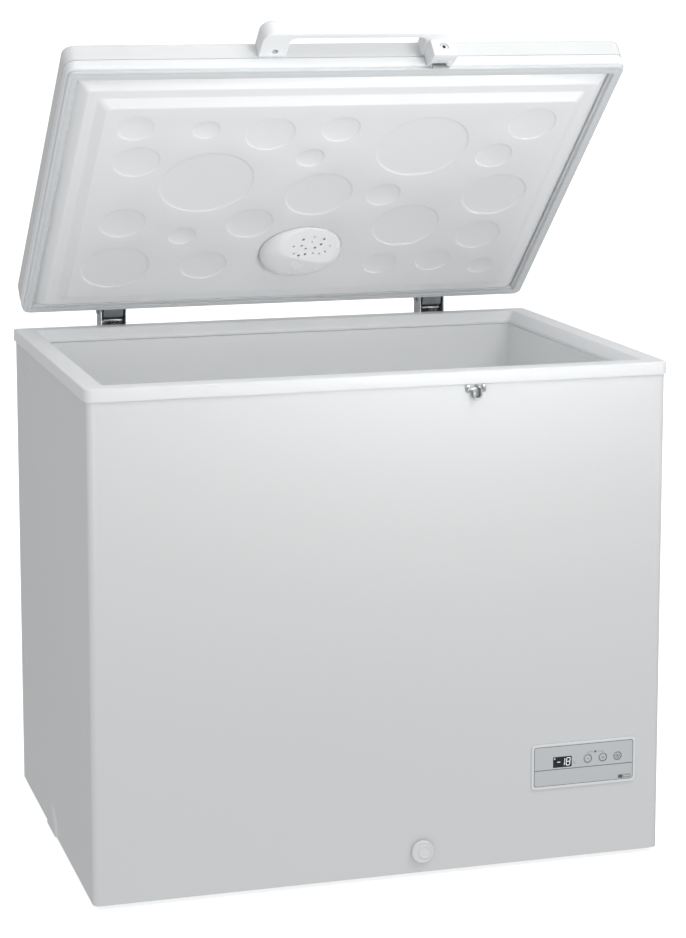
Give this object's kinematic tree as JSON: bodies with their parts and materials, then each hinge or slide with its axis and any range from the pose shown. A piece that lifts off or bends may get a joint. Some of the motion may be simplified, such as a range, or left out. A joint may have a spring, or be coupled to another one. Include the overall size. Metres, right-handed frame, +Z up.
{
  "type": "chest freezer",
  "caption": "Top-opening chest freezer with a spring-hinged insulated lid standing open, arched lockable handle, front control panel and drain.",
  "frame": {"origin": "on the floor, under the middle of the freezer with its lid open", "axes": "+X to the right seen from the front, +Y from the front to the back, +Z up"},
  "size_m": [0.922, 0.687, 1.3251],
  "materials": {
    "painted_white": "smooth semi-gloss white paint on sheet steel",
    "galvanised": "galvanised sheet steel",
    "white_plastic": "white moulded plastic",
    "panel_plastic": "pale grey moulded plastic",
    "lid_panel": "thermoformed pale grey sheet",
    "tub_liner": "white coated sheet",
    "foam": null,
    "copper": "copper tube",
    "steel_tube": "steel tube",
    "black_enamel": "black enamel",
    "black_plastic": "black moulded plastic",
    "rubber": "black rubber",
    "gasket": "pale grey soft vinyl",
    "display": "dark display window",
    "board": "green circuit board",
    "lens": "white translucent lamp cover",
    "bulb": "small clear bulb",
    "zinc": "zinc plated steel",
    "spring_steel": "oiled spring steel"
  },
  "bodies": {
    "cabinet": {"cabinet_shell": "painted_white", "back_panel": "galvanised", "base_plate": "galvanised", "inner_liner": "tub_liner", "cabinet_foam": "foam", "top_frame": "white_plastic", "evaporator_coil": "steel_tube", "condenser_coil": "steel_tube", "compressor": "black_enamel", "compressor_tray": "galvanised", "grommet_1": "rubber", "grommet_2": "rubber", "grommet_3": "rubber", "grommet_4": "rubber", "relay_cover": "black_plastic", "filter_drier": "copper", "side_grille": "white_plastic", "rear_cover": "galvanised", "cord_gland": "black_plastic", "panel_bezel": "white_plastic", "panel_fascia": "panel_plastic", "display_window": "display", "control_board": "board", "drain_socket": "panel_plastic", "drain_pipe": "rubber", "striker": "zinc", "striker_screw_left": "zinc", "striker_screw_right": "zinc", "foot_front_left": "rubber", "foot_front_right": "rubber", "foot_back_left": "rubber", "foot_back_right": "rubber", "hinge_base_left": "galvanised", "hinge_base_right": "galvanised", "hinge_pin_left": "zinc", "hinge_pin_right": "zinc", "hinge_spring_left": "spring_steel", "hinge_spring_right": "spring_steel"},
    "lid": {"lid_skin": "painted_white", "lid_frame": "white_plastic", "lid_gasket": "gasket", "lid_liner": "lid_panel", "lid_foam": "foam", "light_lens": "lens", "lamp_holder": "white_plastic", "light_bulb": "bulb", "lid_handle": "white_plastic", "handle_screw": "zinc", "hinge_arm_left": "zinc", "hinge_arm_right": "zinc"},
    "lock_barrel": {"lock_barrel": "zinc"},
    "lock_hook": {"lock_hook": "zinc"},
    "button_minus": {"button_minus": "panel_plastic"},
    "button_plus": {"button_plus": "panel_plastic"},
    "button_freeze": {"button_freeze": "panel_plastic"},
    "drain_spout": {"drain_spout": "white_plastic"},
    "drain_dial": {"drain_dial": "white_plastic"},
    "liner_drain_plug": {"liner_drain_plug": "white_plastic"},
    "hinge_follower_left": {"hinge_follower_left": "galvanised"},
    "hinge_follower_right": {"hinge_follower_right": "galvanised"}
  },
  "joints": [
    {"name": "lid_hinge", "type": "hinge", "parent": "cabinet", "child": "lid", "pos_m": [0, 0.329, 0.818], "axis": [-1, 0, 0], "range_deg": [-42, 38], "stiffness_Nm_per_rad": 10, "springref_deg": 85.94},
    {"name": "hinge_follower_left_slide", "type": "slide", "parent": "cabinet", "child": "hinge_follower_left", "axis": [0, 0, 1], "range_m": [-0.0059, 0.0056], "deforming": ["hinge_spring_left"]},
    {"name": "hinge_follower_right_slide", "type": "slide", "parent": "cabinet", "child": "hinge_follower_right", "axis": [0, 0, 1], "range_m": [-0.0059, 0.0056], "deforming": ["hinge_spring_right"]},
    {"name": "lock_turn", "type": "hinge", "parent": "lid", "child": "lock_barrel", "pos_m": [0.1335, -0.20659, 1.28275], "axis": [0, 0.7431, -0.6691], "range_deg": [0, 90]},
    {"name": "hook_swing", "type": "hinge", "parent": "lid", "child": "lock_hook", "pos_m": [0.1455, -0.19054, 1.2535], "axis": [0, -0.7431, 0.6691], "range_deg": [0, 90]},
    {"name": "button_minus_press", "type": "slide", "parent": "cabinet", "child": "button_minus", "axis": [0, 1, 0], "range_m": [0, 0.0008], "stiffness_N_per_m": 600, "springref_m": -0.0004},
    {"name": "button_plus_press", "type": "slide", "parent": "cabinet", "child": "button_plus", "axis": [0, 1, 0], "range_m": [0, 0.0008], "stiffness_N_per_m": 600, "springref_m": -0.0004},
    {"name": "button_freeze_press", "type": "slide", "parent": "cabinet", "child": "button_freeze", "axis": [0, 1, 0], "range_m": [0, 0.0008], "stiffness_N_per_m": 600, "springref_m": -0.0004},
    {"name": "drain_spout_slide", "type": "slide", "parent": "cabinet", "child": "drain_spout", "axis": [0, -1, 0], "range_m": [0, 0.018]},
    {"name": "drain_dial_turn", "type": "hinge", "parent": "drain_spout", "child": "drain_dial", "pos_m": [0.06, -0.336, 0.0432], "axis": [0, -1, 0], "range_deg": [0, 180]},
    {"name": "drain_plug_pull", "type": "slide", "parent": "cabinet", "child": "liner_drain_plug", "axis": [0, 0, 1], "range_m": [0, 0.035]}
  ],
  "couplings": [
    {"joint": "hinge_follower_left_slide", "follows": "lid_hinge", "m_per_rad": 0.008},
    {"joint": "hinge_follower_right_slide", "follows": "lid_hinge", "m_per_rad": 0.008},
    {"joint": "hook_swing", "follows": "lock_turn", "ratio": 1}
  ]
}
